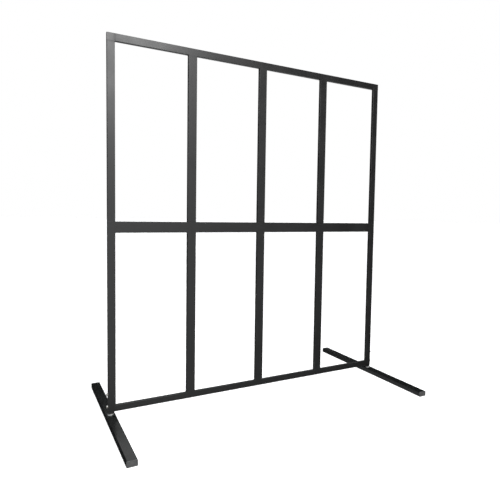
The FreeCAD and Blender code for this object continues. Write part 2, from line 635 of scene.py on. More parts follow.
@dataclass(frozen=True)
class PowderCoat:
    """Satin black powder coat on steel tube, with orange peel, handling marks and settled dust."""

    name: str
    tone: float = 0.007
    tint: float = 0.0
    gloss_low: float = 0.30
    gloss_high: float = 0.43
    peel_per_metre: float = 420.0
    peel_depth: float = 0.05 * MM
    dust_tone: float = 0.12
    dust_share: float = 0.03
    dust_dull: float = 0.10
    rub_tone: float = 0.06
    rub_share: float = 0.55
    ground_axis: int = 2
    ground_levels: tuple[float, ...] = ()
    ground_width: float = 9 * MM

    def material(self) -> bpy.types.Material:
        """Builds the finish.

        Returns:
            The material.
        """
        board = NodeBoard(self.name)
        smudges = board.noise(5.5, 4.0, rough=0.6)
        streaks = board.noise(16.0, 3.0, Vector((1, 1, 0.25)))
        speckle = board.noise(1900.0, 1.0)
        rub = board.work("MULTIPLY", board.rounded_edges(), board.reach(board.noise(34.0, 5.0), 0.50, 0.70))
        dust = board.work("MULTIPLY", board.upward(), board.reach(streaks, 0.25, 0.75, 0.3, 1.0))
        base = board.blend(board.reach(smudges, 0.3, 0.75), grey(self.tone, self.tint),
                           grey(self.tone * 1.22, self.tint))
        base = board.blend(board.work("MULTIPLY", dust, self.dust_share), base, grey(self.dust_tone))
        base = board.blend(board.work("MULTIPLY", rub, self.rub_share), base, grey(self.rub_tone))
        gloss = board.reach(smudges, 0.25, 0.8, self.gloss_low, self.gloss_high)
        gloss = board.work("ADD", gloss, board.work("MULTIPLY", dust, self.dust_dull))
        gloss = board.work("ADD", gloss, board.work("MULTIPLY", rub, self.rub_share * 0.18))
        gloss = board.work("ADD", gloss, board.work("MULTIPLY", speckle, 0.04))
        relief = board.bump(board.noise(self.peel_per_metre, 2.5), self.peel_depth, 0.9)
        ground = board.near(self.ground_axis, self.ground_levels, self.ground_width)
        if ground is not None:
            run = Vector((1, 1, 0.05)) if self.ground_axis == 0 else Vector((0.05, 1, 1))
            grind = board.noise(900.0, 2.0, run)
            relief = board.bump(board.work("MULTIPLY", grind, ground), 0.09 * MM, 0.8, relief)
            gloss = board.work("ADD", gloss, board.work("MULTIPLY", ground, 0.05))
        return board.shade(Base_Color=base, Roughness=gloss, Normal=relief, Specular_IOR_Level=0.5)


@dataclass(frozen=True)
class ZincPlate:
    """Bright zinc on steel, with a faint clear passivation, and an optional share of painted shade that
    darkens its colour.
    """

    name: str
    cool: tuple[float, float, float, float] = (0.76, 0.79, 0.83, 1.0)
    warm: tuple[float, float, float, float] = (0.80, 0.77, 0.68, 1.0)
    gloss_low: float = 0.27
    gloss_high: float = 0.42
    # share of painted shade: how far the zinc's colour is blended towards near black
    painted_shade: float = 0.0
    metal: float = 0.6

    def material(self) -> bpy.types.Material:
        """Builds the finish.

        Returns:
            The material.
        """
        board = NodeBoard(self.name)
        cloud = board.noise(85.0, 4.0)
        lines = board.noise(1400.0, 2.0, Vector((0.12, 1, 1)))
        base = board.blend(board.reach(cloud, 0.35, 0.7), self.cool, self.warm)
        base = board.blend(board.work("MULTIPLY", board.reach(board.noise(240.0, 3.0), 0.55, 0.75), 0.22),
                           base, (0.46, 0.47, 0.49, 1.0))
        # painted shade: darkens the zinc's colour towards near black by this share
        base = board.blend(self.painted_shade, base, grey(0.03))
        gloss = board.reach(cloud, 0.3, 0.75, self.gloss_low, self.gloss_high)
        relief = board.bump(lines, 0.02 * MM, 0.6)
        return board.shade(Base_Color=base, Roughness=gloss, Normal=relief, Metallic=self.metal)


@dataclass(frozen=True)
class MouldedPlastic:
    """Dyed plastic from a spark-eroded mould, paler where its edges are rubbed."""

    name: str
    tone: float = 0.055
    edge_tone: float = 0.12
    gloss_low: float = 0.40
    gloss_high: float = 0.54
    grain_per_metre: float = 2600.0

    def material(self) -> bpy.types.Material:
        """Builds the finish.

        Returns:
            The material.
        """
        board = NodeBoard(self.name)
        cloud = board.noise(60.0, 3.0)
        scuffs = board.reach(board.noise(420.0, 4.0, Vector((1, 1, 0.15))), 0.62, 0.74)
        base = board.blend(board.reach(cloud, 0.3, 0.7), grey(self.tone), grey(self.tone * 1.25))
        base = board.blend(board.work("MULTIPLY", board.rounded_edges(), 0.6), base, grey(self.edge_tone))
        base = board.blend(board.work("MULTIPLY", scuffs, 0.25), base, grey(self.edge_tone * 1.3))
        gloss = board.reach(cloud, 0.25, 0.8, self.gloss_low, self.gloss_high)
        relief = board.bump(board.cells(self.grain_per_metre), 0.03 * MM, 0.7)
        return board.shade(Base_Color=base, Roughness=gloss, Normal=relief, Specular_IOR_Level=0.5)


@dataclass(frozen=True)
class BlackOxide:
    """Oiled black oxide on machined steel."""

    name: str
    tone: float = 0.045

    def material(self) -> bpy.types.Material:
        """Builds the finish.

        Returns:
            The material.
        """
        board = NodeBoard(self.name)
        cloud = board.noise(300.0, 3.0)
        base = board.blend(board.reach(cloud, 0.35, 0.7), grey(self.tone), grey(self.tone * 1.8))
        base = board.blend(board.work("MULTIPLY", board.rounded_edges(), 0.2), base, grey(0.2))
        gloss = board.reach(cloud, 0.3, 0.7, 0.26, 0.40)
        return board.shade(Base_Color=base, Roughness=gloss, Metallic=0.85)


@dataclass(frozen=True)
class Floor:
    """Pale, even studio floor."""

    name: str = "studio_floor"
    tone: float = 0.90
    glow: float = 0.66

    def material(self) -> bpy.types.Material:
        """Builds the finish.

        Returns:
            The material.
        """
        board = NodeBoard(self.name)
        cloud = board.noise(0.8, 2.0)
        base = board.blend(board.reach(cloud, 0.2, 0.8), grey(self.tone), grey(self.tone * 1.02))
        return board.shade(Base_Color=base, Roughness=0.7, Specular_IOR_Level=0.2,
                           Emission_Color=base, Emission_Strength=self.glow)


class Finishes:
    """Every material of the wall, built once."""

    def __init__(self, levels: "JointLevels") -> None:
        """Builds the materials.

        Args:
            levels: Where the welded joints are.
        """
        across = (levels.bottom, levels.mid_low, levels.top)
        self.bar = PowderCoat("powder_coat_bar", ground_levels=across).material()
        self.upright = PowderCoat("powder_coat_upright", ground_levels=(levels.top,)).material()
        self.rail = PowderCoat("powder_coat_rail", ground_axis=0, ground_levels=levels.rail_ends).material()
        self.inner = PowderCoat("powder_coat_inner").material()
        self.foot = PowderCoat("powder_coat_foot", tone=0.004, tint=0.25, gloss_low=0.12, gloss_high=0.20,
                               dust_share=0.02, dust_dull=0.02, rub_share=0.18).material()
        # the side bolts', side washers' and pivot parts' zinc has painted shade, darker than the swivel
        # washer's plain zinc
        self.zinc = ZincPlate("zinc_plate", painted_shade=0.62).material()
        self.bright_zinc = ZincPlate("zinc_plate_bright", metal=0.45).material()
        self.cap = MouldedPlastic("moulded_cap").material()
        self.black_steel = BlackOxide("black_oxide").material()


# ----------------------------------------------------------------------------------------------
# Stock and fasteners
# ----------------------------------------------------------------------------------------------


@dataclass(frozen=True)
class JointLevels:
    """Where the pieces of the panel meet, read from the frame."""

    bottom: float
    mid_low: float
    top: float
    rail_ends: tuple[float, float]

    @classmethod
    def from_frame(cls) -> "JointLevels":
        """Reads the levels.

        Returns:
            The levels, in metres.
        """
        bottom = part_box("bottom_rail")[1]
        mid_low, mid_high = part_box("mid_rail")
        return cls(bottom.z, mid_low.z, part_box("top_rail")[0].z, (mid_low.x, mid_high.x))


@dataclass(frozen=True)
class TubeStock:
    """Rectangular steel tube: its wall, its rounded corners and how its ends are cut."""

    wall: float = 1.5 * MM
    corner: float = 2.0 * MM
    corner_strips: int = 5
    deburr: float = 0.7 * MM

    def cut(self, name: str, node: str, loose_low: bool = False,
            loose_high: bool = False) -> bpy.types.Object:
        """Makes one length of tube in the place of a frame node.

        Args:
            name: The piece's name.
            node: The frame node that gives its place.
            loose_low: True if its low end is a deburred cut that shows.
            loose_high: The same for its high end.

        Returns:
            The tube, hollow and open at both ends.
        """
        low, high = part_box(node)
        size = high - low
        axis = max((AXIS_X, AXIS_Y, AXIS_Z), key=lambda way: abs(size.dot(way)))
        piece = new_block(name, low, high)
        pick_edges(piece, along(axis))
        bevel_picked(self.corner, self.corner_strips)
        pick_faces(piece, lambda middle, normal: abs(normal.dot(axis)) > PARALLEL)
        bpy.ops.mesh.inset(thickness=self.wall, use_individual=True)
        bpy.ops.mesh.delete(type="FACE")
        bpy.ops.mesh.select_mode(type="EDGE")
        bpy.ops.mesh.select_all(action="DESELECT")
        bpy.ops.mesh.select_non_manifold()
        bpy.ops.mesh.bridge_edge_loops()
        for loose, way, level in ((loose_low, -axis, -low.dot(axis)), (loose_high, axis, high.dot(axis))):
            if loose:
                pick_faces(piece, facing(way, level))
                bpy.ops.mesh.region_to_loop()
                bevel_picked(min(self.deburr, self.wall * 0.45), 2)
        bpy.ops.object.mode_set(mode="OBJECT")
        return piece


@dataclass(frozen=True)
class HexBolt:
    """Hexagon bolt with a washer face, a bevelled crown and a shallow forged dish."""

    diameter: float
    flats: float
    head: float
    reach: float
    bevel_angle: float = math.radians(30)
    washer_face: float = 0.35 * MM
    crown_share: float = 0.95
    dish_share: float = 0.33
    dish_depth: float = 0.5 * MM
    seat_share: float = 0.475
    seat_overlap: float = 0.2 * MM
    pitch_share: float = 0.16
    thread_share: float = 0.45

    def build(self, name: str) -> bpy.types.Object:
        """Makes the bolt with its head on +Z and its seat at the origin.

        Args:
            name: The piece's name.

        Returns:
            The bolt.
        """
        face = self.washer_face
        head = new_rod(name, self.flats / math.sqrt(3), self.head - face, 6, face)
        crown_top = self.flats / 2 * self.crown_share
        flare = self.head / math.tan(self.bevel_angle)
        clear_selection()
        bpy.ops.mesh.primitive_cone_add(vertices=72, radius1=crown_top + flare, radius2=crown_top,
                                        depth=self.head, location=(0, 0, self.head / 2))
        cone = finish_primitive("crown", Vector((1, 1, 1)))
        combine(head, cone, "INTERSECT")
        dish = new_rod("dish", self.flats * self.dish_share, self.head, 48, self.head - self.dish_depth)
        pick_faces(dish, facing(-AXIS_Z))
        bevel_picked(0.4 * MM, 3)
        bpy.ops.object.mode_set(mode="OBJECT")
        combine(head, dish, "DIFFERENCE")
        seat = new_rod("seat", self.flats * self.seat_share, face + self.seat_overlap, 64)
        combine(head, seat, "UNION")
        shank = self.shank()
        combine(head, shank, "UNION")
        return smooth(head, SHARP_DETAIL)

    def shank(self) -> bpy.types.Object:
        """Makes the threaded shank, each turn of its thread a raised ring.

        Returns:
            The shank, from just inside the head down to its chamfered tip.
        """
        pitch = self.diameter * self.pitch_share
        depth = pitch * self.thread_share
        piece = new_rod("shank", self.diameter / 2 - depth, 0.3 * MM, 32, 0.0)
        level = 0.0
        while level > -(self.reach - pitch * 1.5):
            for growth in (self.diameter / 2, self.diameter / 2 - depth):
                pick_faces(piece, facing(-AXIS_Z))
                push_picked(Vector((0, 0, -pitch / 2)))
                level -= pitch / 2
                self.resize_picked(growth, level)
        pick_faces(piece, facing(-AXIS_Z))
        push_picked(Vector((0, 0, -(self.reach + level))))
        self.resize_picked(self.diameter / 2 - depth * 2, -self.reach)
        bpy.ops.object.mode_set(mode="OBJECT")
        return piece

    @staticmethod
    def resize_picked(radius: float, level: float) -> None:
        """Gives the selected round end face a new radius.

        Args:
            radius: The radius, in metres.
            level: The face's height.
        """
        mesh = bmesh.from_edit_mesh(bpy.context.object.data)
        ring = [vertex.co for vertex in mesh.verts if vertex.select]
        now = max(math.hypot(point.x, point.y) for point in ring)
        share = radius / now
        bpy.ops.transform.resize(value=(share, share, 1), center_override=(0, 0, level))


@dataclass(frozen=True)
class FlatWasher:
    """Flat ring with slightly broken edges."""

    outer: float
    inner: float
    thickness: float
    broken_edge: float = 0.25 * MM

    def build(self, name: str) -> bpy.types.Object:
        """Makes the washer on +Z, its lower face at the origin.

        Args:
            name: The piece's name.

        Returns:
            The washer.
        """
        piece = new_rod(name, self.outer / 2, self.thickness, 72)
        bore = new_rod("bore", self.inner / 2, self.thickness * 3, 48, -self.thickness)
        combine(piece, bore, "DIFFERENCE")

        def on_rim(point: Vector) -> bool:
            """True for a point of the outer or inner rim."""
            radius = math.hypot(point.x, point.y)
            return any(abs(radius - rim / 2) < 0.1 * MM for rim in (self.outer, self.inner))

        def rim(a: Vector, b: Vector) -> bool:
            """True for an edge of the outer or inner rim."""
            return abs(a.z - b.z) < 0.01 * MM and on_rim(a) and on_rim(b)

        pick_edges(piece, rim)
        bevel_picked(self.broken_edge, 2)
        bpy.ops.object.mode_set(mode="OBJECT")
        return smooth(piece)


@dataclass(frozen=True)
class ButtonScrew:
    """Button-head screw with a hexagon socket."""

    diameter: float = 5.0 * MM
    head_diameter: float = 9.5 * MM
    head: float = 2.7 * MM
    socket: float = 3.0 * MM
    socket_depth: float = 1.6 * MM
    reach: float = 8.0 * MM

    def build(self, name: str) -> bpy.types.Object:
        """Makes the screw with its head on +Z and its seat at the origin.

        Args:
            name: The piece's name.

        Returns:
            The screw.
        """
        piece = new_rod(name, self.head_diameter / 2, self.head, 64)
        pick_faces(piece, facing(AXIS_Z))
        bpy.ops.mesh.region_to_loop()
        bevel_picked(self.head * 0.85, 7)
        bpy.ops.object.mode_set(mode="OBJECT")
        key = new_rod("key", self.socket / math.sqrt(3), self.head, 6, self.head - self.socket_depth)
        combine(piece, key, "DIFFERENCE")
        shank = HexBolt(self.diameter, 0.0, 0.0, self.reach).shank()
        combine(piece, shank, "UNION")
        return smooth(piece, SHARP_DETAIL)


@dataclass(frozen=True)
class EndCap:
    """Moulded cap: a crowned plate with a dished face and a gate mark, and a skirt inside the tube."""

    width: float
    height: float
    head: float
    tube_wall: float
    corner: float
    clearance: float = 0.2 * MM
    skirt_length: float = 18.0 * MM
    skirt_wall: float = 2.0 * MM
    edge_round: float = 1.0 * MM
    rim_width: float = 1.9 * MM
    dish_depth: float = 0.45 * MM

    def build(self, name: str) -> bpy.types.Object:
        """Makes the cap with its outer face on -Y and its seat on the tube at the origin.

        Args:
            name: The piece's name.

        Returns:
            The cap.
        """
        half = Vector((self.width / 2, 0, self.height / 2))
        piece = new_block(name, -half - AXIS_Y * self.head, half)
        pick_edges(piece, along(AXIS_Y))
        bevel_picked(self.corner, 6)
        pick_faces(piece, facing(-AXIS_Y))
        bpy.ops.mesh.region_to_loop()
        bevel_picked(self.edge_round, 4)
        pick_faces(piece, facing(-AXIS_Y, self.head))
        bpy.ops.mesh.inset(thickness=self.rim_width)
        bpy.ops.mesh.inset(thickness=0.25 * MM, depth=-self.dish_depth)
        bpy.ops.mesh.inset(thickness=0.2 * MM)
        pick_faces(piece, facing(AXIS_Y, 0.0))
        bpy.ops.mesh.inset(thickness=self.tube_wall + self.clearance)
        push_picked(AXIS_Y * self.skirt_length)
        bpy.ops.mesh.inset(thickness=self.skirt_wall)
        push_picked(-AXIS_Y * (self.skirt_length - 0.5 * MM))
        bpy.ops.object.mode_set(mode="OBJECT")
        gate = new_rod("gate", 1.7 * MM, 0.6 * MM, 40)
        pick_faces(gate, facing(AXIS_Z))
        bpy.ops.mesh.inset(thickness=0.5 * MM)
        push_picked(-AXIS_Z * 0.2 * MM)
        bpy.ops.object.mode_set(mode="OBJECT")
        seat = -AXIS_Y * (self.head - self.dish_depth - 0.35 * MM)
        gate.data.transform(Matrix.Translation(seat) @ facing_turn(-AXIS_Y))
        return smooth(join(name, [piece, gate]))


@dataclass(frozen=True)
class WeldBead:
    """Short fillet weld in an inside corner, with the ripples of its run."""

    radius: float = 2.6 * MM
    length: float = 15.0 * MM
    ripples: int = 9
    start_share: float = 0.55
    trough_share: float = 0.86

    def build(self, name: str) -> bpy.types.Object:
        """Makes a bead along Y that fills the corner between the planes x = 0 and z = 0.

        Args:
            name: The piece's name.

        Returns:
            The bead, on the side where x and z are above 0.
        """
        step = self.length / self.ripples / 2
        clear_selection()
        bpy.ops.mesh.primitive_circle_add(
            vertices=20, radius=self.radius * self.start_share, fill_type="NGON",
            location=(0, -self.length / 2, 0), rotation=(math.pi / 2, 0, 0),
        )
        piece = finish_primitive(name, Vector((1, 1, 1)))
        take(piece)
        bpy.ops.object.mode_set(mode="EDIT")
        bpy.ops.mesh.select_all(action="SELECT")
        radius = self.radius * self.start_share
        for index in range(self.ripples * 2):
            swell = 1.0 if index % 2 == 0 else self.trough_share
            taper = self.start_share if index == self.ripples * 2 - 1 else 1.0
            push_picked(AXIS_Y * step)
            share = self.radius * swell * taper / radius
            radius *= share
            middle = (0, -self.length / 2 + step * (index + 1), 0)
            bpy.ops.transform.resize(value=(share, 1, share), center_override=middle)
        for normal in (AXIS_X, AXIS_Z):
            bpy.ops.mesh.select_all(action="SELECT")
            bpy.ops.mesh.bisect(plane_co=(0, 0, 0), plane_no=normal, use_fill=True, clear_inner=True)
        bpy.ops.object.mode_set(mode="OBJECT")
        return smooth(piece, math.radians(60))


@dataclass(frozen=True)
class GroundWeld:
    """Weld that fills the groove beside a rounded tube corner, ground just below the faces."""

    reach: float = 2.0 * MM
    recess: float = 0.04 * MM
    soft_edge: float = 0.12 * MM
    side: float = 1.2 * MM

    def build(self, name: str, low: Vector, high: Vector) -> bpy.types.Object:
        """Makes the front and the rear fill of one joint.

        Args:
            name: The piece's name.
            low: The groove's lowest X and Z, with the panel's front face in Y.
            high: Its highest X and Z, with the panel's rear face in Y.

        Returns:
            The two fills as one piece.
        """
        fills = []
        front = (low.y + self.recess, low.y + self.reach)
        rear = (high.y - self.reach, high.y - self.recess)
        for outer, inner in (front, rear):
            fill = new_block(name, Vector((low.x, outer, low.z)), Vector((high.x, inner, high.z)))
            pick_edges(fill, lambda a, b: True)
            bevel_picked(self.soft_edge, 2)
            bpy.ops.object.mode_set(mode="OBJECT")
            fills.append(fill)
        return join(name, fills)


# ----------------------------------------------------------------------------------------------
# Sub-assemblies
# ----------------------------------------------------------------------------------------------


@dataclass
class FramePart:
    """What the two welded frames share: their tube, their weld beads and their finishes."""

    finishes: Finishes
    levels: JointLevels
    stock: TubeStock = TubeStock()
    slot: str = "powder_coat"

    def fit_tube(self, node: str, material: bpy.types.Material, loose_low: bool = False,
                 loose_high: bool = False) -> bpy.types.Object:
        """Cuts one tube in a node's place and dresses it.

        Args:
            node: The frame node that it stands for.
            material: Its finish.
            loose_low: True if its low end shows.
            loose_high: True if its high end shows.

        Returns:
            The tube.
        """
        piece = smooth(self.stock.cut(node + "_tube", node, loose_low, loose_high))
        return dress(piece, material, Body.PANEL, [node])

    def weld_corners(self, name: str, corners: Sequence[tuple[Vector, int]]) -> bpy.types.Object:
        """Lays a bead in each inside corner.

        Args:
            name: The joined beads' name.
            corners: Each corner's place, and how many quarter turns about Y its bead has.

        Returns:
            The beads as one piece.
        """
        bead = WeldBead().build("bead")
        beads = []
        for index, (place, quarters) in enumerate(corners):
            turn = Matrix.Rotation(-quarters * math.pi / 2, 4, "Y")
            beads.append(copy_to(bead, f"bead_{index}", Matrix.Translation(place) @ turn))
        bpy.data.objects.remove(bead, do_unlink=True)
        return dress(join(name, beads), self.finishes.inner, Body.PANEL)

    def grind_joints(self, name: str, joints: Sequence[tuple[str, str]]) -> bpy.types.Object:
        """Fills the grooves where one tube butts against another, front and rear.

        Args:
            name: The joined fills' name.
            joints: The tube that ends in each joint, and the tube that it ends on.

        Returns:
            The fills as one piece.
        """
        weld = GroundWeld()
        fills = []
        for index, (ending, passing) in enumerate(joints):
            low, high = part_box(ending)
            pass_low, pass_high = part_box(passing)
            if high.z - low.z > high.x - low.x:
                at = pass_low.z if pass_low.z > (low.z + high.z) / 2 else pass_high.z - weld.reach
                near = Vector((low.x + weld.side, low.y, at))
                far = Vector((high.x - weld.side, high.y, at + weld.reach))
            else:
                at = pass_low.x if pass_low.x > 0 else pass_high.x - weld.reach
                near = Vector((at, low.y, low.z + weld.side))
                far = Vector((at + weld.reach, high.y, high.z - weld.side))
            fills.append(weld.build(f"fill_{index}", near, far))
        return dress(smooth(join(name, fills)), self.finishes.bar, Body.PANEL)

    @staticmethod
    def bay_sides(row: str) -> list[tuple[float, float]]:
        """Reads where the bays of one row begin and end.

        Args:
            row: lower or upper.

        Returns:
            The left and right side of each bay, in metres.
        """
        bars = [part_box(f"{row}_upright_left")]
        bars += [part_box(f"{row}_mullion_{word}") for word in MULLION_WORDS]
        bars.append(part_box(f"{row}_upright_right"))
        return [(left[1].x, right[0].x) for left, right in zip(bars, bars[1:])]


class LowerFrame(FramePart):
    """Bottom and mid rail between two uprights, with three mullions. It carries the upper frame."""

    def build(self) -> int:
        """Makes and dresses the lower frame.

        Returns:
            The number of pieces.
        """
        self.fit_tube("bottom_rail", self.finishes.rail)
        self.fit_tube("mid_rail", self.finishes.rail)
        for side in Side:
            self.fit_tube(f"lower_upright_{side.word}", self.finishes.inner, True, True)
            coat_node(f"upright_spigot_{side.word}", self.finishes.inner)
        for word in MULLION_WORDS:
            self.fit_tube(f"lower_mullion_{word}", self.finishes.bar)
            coat_node(f"mullion_stub_{word}", self.finishes.inner)
        corners = []
        for left, right in self.bay_sides("lower"):
            corners.append((Vector((left, 0, self.levels.bottom)), 0))
            corners.append((Vector((right, 0, self.levels.bottom)), 1))
            corners.append((Vector((right, 0, self.levels.mid_low)), 2))
            corners.append((Vector((left, 0, self.levels.mid_low)), 3))
        self.weld_corners("lower_frame_welds", corners)
        rails = ("bottom_rail", "mid_rail")
        joints = [(rail, f"lower_upright_{side.word}") for rail in rails for side in Side]
        joints += [(f"lower_mullion_{word}", rail) for word in MULLION_WORDS for rail in rails]
        self.grind_joints("lower_frame_ground_joints", joints)
        return 4 + 2 * len(Side) + 2 * len(MULLION_WORDS)


class UpperFrame(FramePart):
    """Top rail on five open legs, with plugs in its ends and locking screws behind its legs."""

    def build(self) -> int:
        """Makes and dresses the upper frame.

        Returns:
            The number of pieces.
        """
        self.fit_tube("top_rail", self.finishes.rail)
        for side in Side:
            self.fit_tube(f"upper_upright_{side.word}", self.finishes.upright, True, False)
        for word in MULLION_WORDS:
            self.fit_tube(f"upper_mullion_{word}", self.finishes.bar, True, False)
        corners = []
        for left, right in self.bay_sides("upper"):
            corners.append((Vector((right, 0, self.levels.top)), 2))
            corners.append((Vector((left, 0, self.levels.top)), 3))
        self.weld_corners("upper_frame_welds", corners)
        legs = [f"upper_upright_{side.word}" for side in Side]
        legs += [f"upper_mullion_{word}" for word in MULLION_WORDS]
        self.grind_joints("upper_frame_ground_joints", [(leg, "top_rail") for leg in legs])
        self.fit_plugs()
        self.fit_screws(legs)
        return 6 + len(legs)

    def fit_plugs(self) -> None:
        """Presses a moulded plug into each end of the top rail."""
        low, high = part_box("top_rail")
        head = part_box("top_rail_plug_right")[1].x - high.x
        plug = EndCap(high.y - low.y, high.z - low.z, head, self.stock.wall, self.stock.corner,
                      edge_round=0.6 * MM, rim_width=0.8 * MM, dish_depth=0.3 * MM).build("plug")
        for side in Side:
            seat = Vector((high.x if side is Side.RIGHT else low.x, 0, (low.z + high.z) / 2))
            turn = Matrix.Rotation(side.value * math.pi / 2, 4, "Z")
            piece = copy_to(plug, f"top_plug_{side.word}", Matrix.Translation(seat) @ turn)
            dress(piece, self.finishes.cap, Body.PANEL, [f"top_rail_plug_{side.word}"])
        bpy.data.objects.remove(plug, do_unlink=True)

    def fit_screws(self, legs: Sequence[str]) -> None:
        """Drives a button-head screw into the rear of each leg.

        Args:
            legs: The legs' nodes.
        """
        low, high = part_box("leg_screws")
        pattern = ButtonScrew().build("screw")
        screws = []
        for leg in legs:
            left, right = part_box(leg)
            seat = Vector(((left.x + right.x) / 2, right.y, (low.z + high.z) / 2))
            screws.append(copy_to(pattern, f"screw_{leg}", Matrix.Translation(seat) @ facing_turn(AXIS_Y)))
        bpy.data.objects.remove(pattern, do_unlink=True)
        dress(join("rear_leg_screws", screws), self.finishes.black_steel, Body.PANEL,
              ["leg_screws"])


@dataclass
class FootFixing:
    """Black block in the foot of an upright, its two side bolts and the pivot bolt under it."""

    finishes: Finishes
    side: Side
    bolt_size: float = 8.0 * MM
    bolt_flats: float = 13.0 * MM
    bolt_hole: float = 8.5 * MM
    pivot_size: float = 10.0 * MM
    pivot_flats: float = 16.0 * MM
    pivot_head: float = 6.4 * MM
    bolt_twists: tuple[float, float] = (math.radians(11), math.radians(34))

    def build(self) -> int:
        """Makes and dresses the fixing.

        Returns:
            The number of pieces.
        """
        word = self.side.word
        coat_node(f"foot_block_{word}", self.finishes.black_steel)
        coat_node(f"pivot_washer_{word}", self.finishes.zinc)
        self.fit_side_bolts()
        self.fit_pivot_bolt()
        return 5

    def fit_side_bolts(self) -> None:
        """Puts two bolts and their washers through the outer wall of the upright."""
        word, outward = self.side.word, AXIS_X * self.side.value
        bolts_low, bolts_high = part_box(f"block_bolts_{word}")
        washers_low, washers_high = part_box(f"block_washers_{word}")
        washer = FlatWasher(washers_high.y - washers_low.y, self.bolt_hole, washers_high.x - washers_low.x)
        if self.side is Side.RIGHT:
            wall, seat, tip, end = washers_low.x, washers_high.x, bolts_low.x, bolts_high.x
        else:
            wall, seat, tip, end = washers_high.x, washers_low.x, bolts_high.x, bolts_low.x
        bolt = HexBolt(self.bolt_size, self.bolt_flats, abs(end - seat), abs(seat - tip))
        half_flats = (bolts_high.z - bolts_low.z - self.bolt_spacing(washers_low, washers_high, washer)) / 2
        heights = (bolts_low.z + half_flats, bolts_high.z - half_flats)
        bolt_pattern, washer_pattern = bolt.build("side_bolt"), washer.build("side_washer")
        bolts, washers = [], []
        turn = facing_turn(outward)
        for index, (height, twist) in enumerate(zip(heights, self.bolt_twists)):
            spin = Matrix.Rotation(twist, 4, "Z")
            bolt_place = Matrix.Translation((seat, 0, height)) @ turn @ spin
            bolts.append(copy_to(bolt_pattern, f"bolt_{index}", bolt_place))
            washer_place = Matrix.Translation((wall, 0, height)) @ turn
            washers.append(copy_to(washer_pattern, f"washer_{index}", washer_place))
        for pattern in (bolt_pattern, washer_pattern):
            bpy.data.objects.remove(pattern, do_unlink=True)
        dress(join(f"side_bolts_{word}", bolts), self.finishes.zinc, Body.PANEL,
              [f"block_bolts_{word}"])
        dress(join(f"side_washers_{word}", washers), self.finishes.zinc, Body.PANEL,
              [f"block_washers_{word}"])

    @staticmethod
    def bolt_spacing(low: Vector, high: Vector, washer: FlatWasher) -> float:
        """Works out how far apart the two side bolts are.

        Args:
            low: The lowest corner of the two washers.
            high: Their highest corner.
            washer: The washer.

        Returns:
            The distance between their middles, in metres.
        """
        return high.z - low.z - washer.outer

    def fit_pivot_bolt(self) -> None:
        """Puts the pivot bolt up through the foot into the block."""
        word = self.side.word
        low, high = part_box(f"pivot_bolt_{word}")
        washer_low, washer_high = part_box(f"pivot_washer_{word}")
        middle = (washer_low + washer_high) / 2
        bolt = HexBolt(self.pivot_size, self.pivot_flats, self.pivot_head, high.z - washer_low.z)
        pattern = bolt.build("pivot_bolt")
        place = Matrix.Translation((middle.x, middle.y, washer_low.z)) @ Matrix.Rotation(math.pi, 4, "X")
        piece = copy_to(pattern, f"pivot_hex_bolt_{word}", place)
        bpy.data.objects.remove(pattern, do_unlink=True)
        dress(piece, self.finishes.zinc, Body.PANEL, [f"pivot_bolt_{word}"])


@dataclass
class Foot:
    """Flat tube on the floor with a cap in each end and the washer that the wall turns on."""

    finishes: Finishes
    side: Side
    wall: float = 2.0 * MM
    corner: float = 3.5 * MM
    pivot_hole: float = 10.1 * MM
    spanner_hole: float = 24.0 * MM

    @property
    def body(self) -> Body:
        """The body that the foot's pieces ride on."""
        return Body.LEFT_FOOT if self.side is Side.LEFT else Body.RIGHT_FOOT

    def build(self) -> int:
        """Makes and dresses the foot.

        Returns:
            The number of pieces.
        """
        self.fit_tube()
        self.fit_caps()
        self.fit_washer()
        return 4

    def fit_tube(self) -> None:
        """Cuts the tube and drills its pivot hole and its spanner hole."""
        node = f"foot_tube_{self.side.word}"
        low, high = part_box(node)
        stock = TubeStock(self.wall, self.corner, 6, 0.4 * MM)
        piece = stock.cut(f"{node}_bar", node, True, True)
        middle = (low + high) / 2
        for diameter, level in ((self.pivot_hole, high.z), (self.spanner_hole, low.z)):
            drill = new_rod("drill", diameter / 2, self.wall * 3, 64, level - self.wall * 1.5)
            drill.data.transform(Matrix.Translation((middle.x, middle.y, 0)))
            combine(piece, drill, "DIFFERENCE")
        dress(smooth(piece), self.finishes.foot, self.body, [node])

    def fit_caps(self) -> None:
        """Presses a moulded cap into each end."""
        low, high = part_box(f"foot_tube_{self.side.word}")
        head = low.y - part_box(f"foot_cap_{self.side.word}_front")[0].y
        cap = EndCap(high.x - low.x, high.z - low.z, head, self.wall, self.corner).build("cap")
        for end in FootEnd:
            end_y = low.y if end is FootEnd.FRONT else high.y
            seat = Vector(((low.x + high.x) / 2, end_y, (low.z + high.z) / 2))
            turn = Matrix.Rotation(0 if end is FootEnd.FRONT else math.pi, 4, "Z")
            node = f"foot_cap_{self.side.word}_{end.word}"
            piece = copy_to(cap, f"{node}_moulding", Matrix.Translation(seat) @ turn)
            dress(piece, self.finishes.cap, self.body, [node])
        bpy.data.objects.remove(cap, do_unlink=True)

    def fit_washer(self) -> None:
        """Lays the plated swivel washer on the tube."""
        node = f"swivel_washer_{self.side.word}"
        low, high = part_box(node)
        pattern = FlatWasher(high.x - low.x, self.pivot_hole, high.z - low.z, 0.5 * MM).build("swivel")
        place = Matrix.Translation(((low.x + high.x) / 2, (low.y + high.y) / 2, low.z))
        piece = copy_to(pattern, f"{node}_ring", place)
        bpy.data.objects.remove(pattern, do_unlink=True)
        dress(piece, self.finishes.bright_zinc, self.body, [node])


